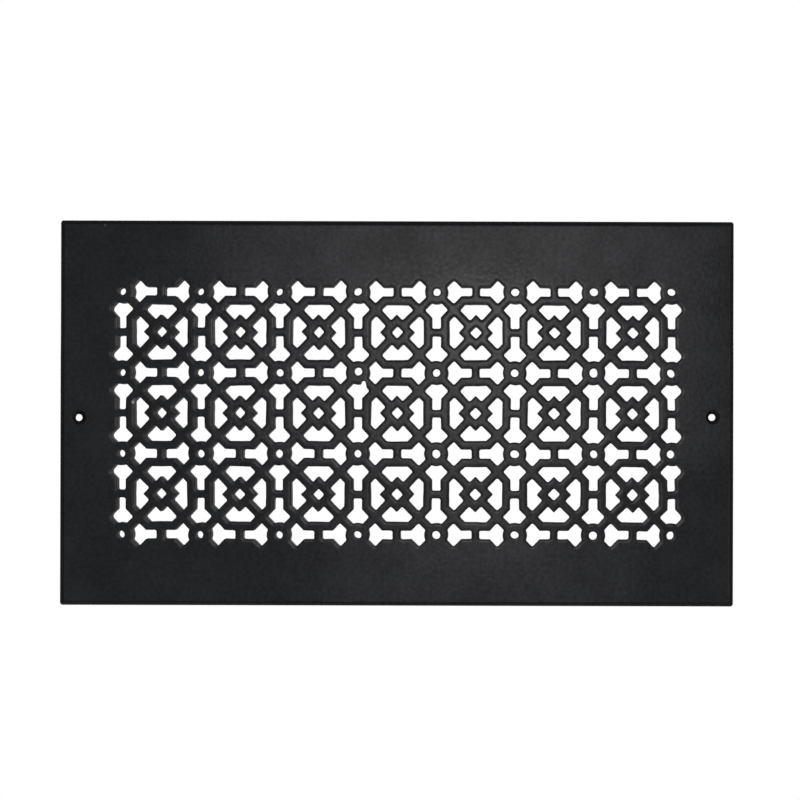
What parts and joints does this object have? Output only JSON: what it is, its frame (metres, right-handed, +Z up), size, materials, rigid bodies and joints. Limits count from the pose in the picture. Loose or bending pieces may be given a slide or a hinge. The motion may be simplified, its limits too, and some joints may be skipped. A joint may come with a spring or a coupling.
{
  "type": "return air grille",
  "caption": "Flat cast grille with a pierced lattice of octagons, diamonds and small rings inside a plain rounded border, for covering a return air duct.",
  "frame": {"origin": "middle of the flat back, which lies against the wall", "axes": "+X to the right along the width, +Z up along the height, the face looks along -Y and the back along +Y"},
  "size_m": [0.3556, 0.0063, 0.2032],
  "materials": {
    "satin_black_coat": "satin"
  },
  "bodies": {
    "root": {"grille": "satin_black_coat"}
  },
  "joints": []
}
